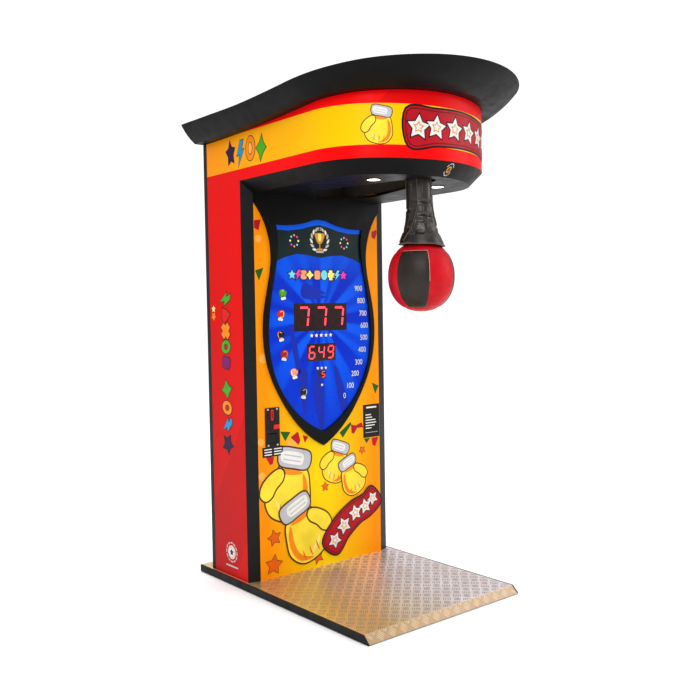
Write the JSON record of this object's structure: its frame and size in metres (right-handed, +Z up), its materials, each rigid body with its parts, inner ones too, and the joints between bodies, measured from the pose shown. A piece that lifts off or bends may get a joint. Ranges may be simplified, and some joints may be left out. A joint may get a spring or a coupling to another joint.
{
  "type": "boxing punch machine",
  "caption": "Coin-operated boxing punch machine with a swinging leather ball under an overhanging head, a shield-shaped score display and a tread-plate base.",
  "frame": {"origin": "on the floor, under the centre of the whole machine's outline", "axes": "+X is the player's right, +Y points from the player to the rear, +Z is up"},
  "size_m": [0.8764, 1.2, 1.798],
  "materials": {
    "base_black": "black painted plywood edge",
    "tread_aluminium": "five-bar tread plate, mill finish",
    "pad_rubber": "matt",
    "printed_side": "printed vinyl over plywood, satin",
    "printed_front": "printed vinyl over plywood, satin",
    "printed_band": "printed vinyl over bent sheet, satin",
    "black_paint": "satin black powder coat",
    "black_wood": "black painted plywood",
    "black_moulding": "fine-grain vacuum-formed plastic",
    "display_print": "reverse-printed polycarbonate, gloss",
    "led_red": "red filter window, gloss",
    "circuit_board": "solder mask",
    "lamp_lens": "frosted",
    "lamp_metal": "satin",
    "steel_black": "black enamel",
    "steel_bright": "ground",
    "zinc": "zinc plated",
    "cast_bearing": "painted casting",
    "copper_coil": "varnished winding",
    "bumper_rubber": "matt",
    "sensor_plastic": "moulded",
    "coin_plate_metal": "dark textured",
    "red_plastic": "moulded, translucent",
    "galvanised": "galvanised sheet",
    "notice_print": "printed plate",
    "sleeve_leather": "dark grained leather",
    "ball_leather": "crimson and black panels",
    "speaker_black": "paper cone, pressed basket"
  },
  "bodies": {
    "cabinet": {"base_board": "base_black", "tread_plate": "tread_aluminium", "rubber_pads": "pad_rubber", "side_panel_left": "printed_side", "side_panel_right": "printed_side", "corner_post_left": "black_paint", "corner_post_right": "black_paint", "front_panel": "printed_front", "nose_band": "printed_band", "soffit_moulding": "black_moulding", "canopy": "black_moulding", "roof_panel": "black_moulding", "back_frame": "black_wood", "tower_brackets": "zinc", "hex_bolts": "zinc", "display_bezel": "black_moulding", "display_panel": "display_print", "led_windows": "led_red", "score_display": "circuit_board", "record_display": "circuit_board", "credit_display": "circuit_board", "downlight_housings": "lamp_metal", "downlight_lenses": "lamp_lens", "mechanism_frame": "steel_black", "bearing_left": "cast_bearing", "bearing_right": "cast_bearing", "latch_bridge": "steel_black", "latch_pin": "steel_bright", "solenoid_coil": "copper_coil", "park_bumper": "bumper_rubber", "optical_sensor": "sensor_plastic", "controller_board": "circuit_board", "power_supply": "galvanised", "speaker": "speaker_black", "coin_faceplate": "coin_plate_metal", "coin_entry": "red_plastic", "coin_return_cup": "sensor_plastic", "coin_plate_screws": "zinc", "coin_validator": "sensor_plastic", "coin_chute": "galvanised", "cash_box": "galvanised", "notice_plates": "notice_print", "hinge_leaves_frame": "zinc", "hinge_pins": "steel_bright", "mains_inlet": "sensor_plastic"},
    "punching_bag": {"pivot_shaft": "steel_bright", "arm_hub": "steel_black", "arm_rod": "steel_bright", "sleeve": "sleeve_leather", "ball": "ball_leather", "encoder_disc": "steel_bright"},
    "latch_hook": {"latch_hook": "zinc"},
    "plunger": {"solenoid_plunger": "steel_bright"},
    "rear_door": {"rear_door": "black_wood", "hinge_leaves_door": "zinc", "lock_housing": "zinc"},
    "lock": {"lock_barrel": "steel_bright"},
    "reject_button": {"reject_button": "red_plastic"},
    "coin_flap": {"coin_return_flap": "sensor_plastic"},
    "power_rocker": {"switch_rocker": "sensor_plastic"}
  },
  "joints": [
    {"name": "bag_swing", "type": "hinge", "parent": "cabinet", "child": "punching_bag", "pos_m": [0, -0.304, 1.51], "axis": [1, 0, 0], "range_deg": [-10, 90]},
    {"name": "latch_hook_turn", "type": "hinge", "parent": "cabinet", "child": "latch_hook", "pos_m": [0, -0.215, 1.625], "axis": [1, 0, 0], "range_deg": [0, 14]},
    {"name": "plunger_slide", "type": "slide", "parent": "cabinet", "child": "plunger", "axis": [0, 0, 1], "range_m": [0, 0.01505]},
    {"name": "rear_door_swing", "type": "hinge", "parent": "cabinet", "child": "rear_door", "pos_m": [0.291, 0.536, 0.79], "axis": [0, 0, -1], "range_deg": [0, 110]},
    {"name": "lock_turn", "type": "hinge", "parent": "rear_door", "child": "lock", "pos_m": [-0.265, 0.526, 0.79], "axis": [0, -1, 0], "range_deg": [0, 90]},
    {"name": "reject_press", "type": "slide", "parent": "cabinet", "child": "reject_button", "axis": [0, 1, 0], "range_m": [0, 0.004], "stiffness_N_per_m": 400},
    {"name": "coin_flap_swing", "type": "hinge", "parent": "cabinet", "child": "coin_flap", "pos_m": [-0.2365, 0.261, 0.5775], "axis": [1, 0, 0], "range_deg": [0, 50]},
    {"name": "power_rocker_tilt", "type": "hinge", "parent": "cabinet", "child": "power_rocker", "pos_m": [-0.22, 0.53, 0.121], "axis": [1, 0, 0], "range_deg": [0, 16]}
  ],
  "couplings": [
    {"joint": "plunger_slide", "follows": "latch_hook_turn", "m_per_rad": 0.06122}
  ]
}
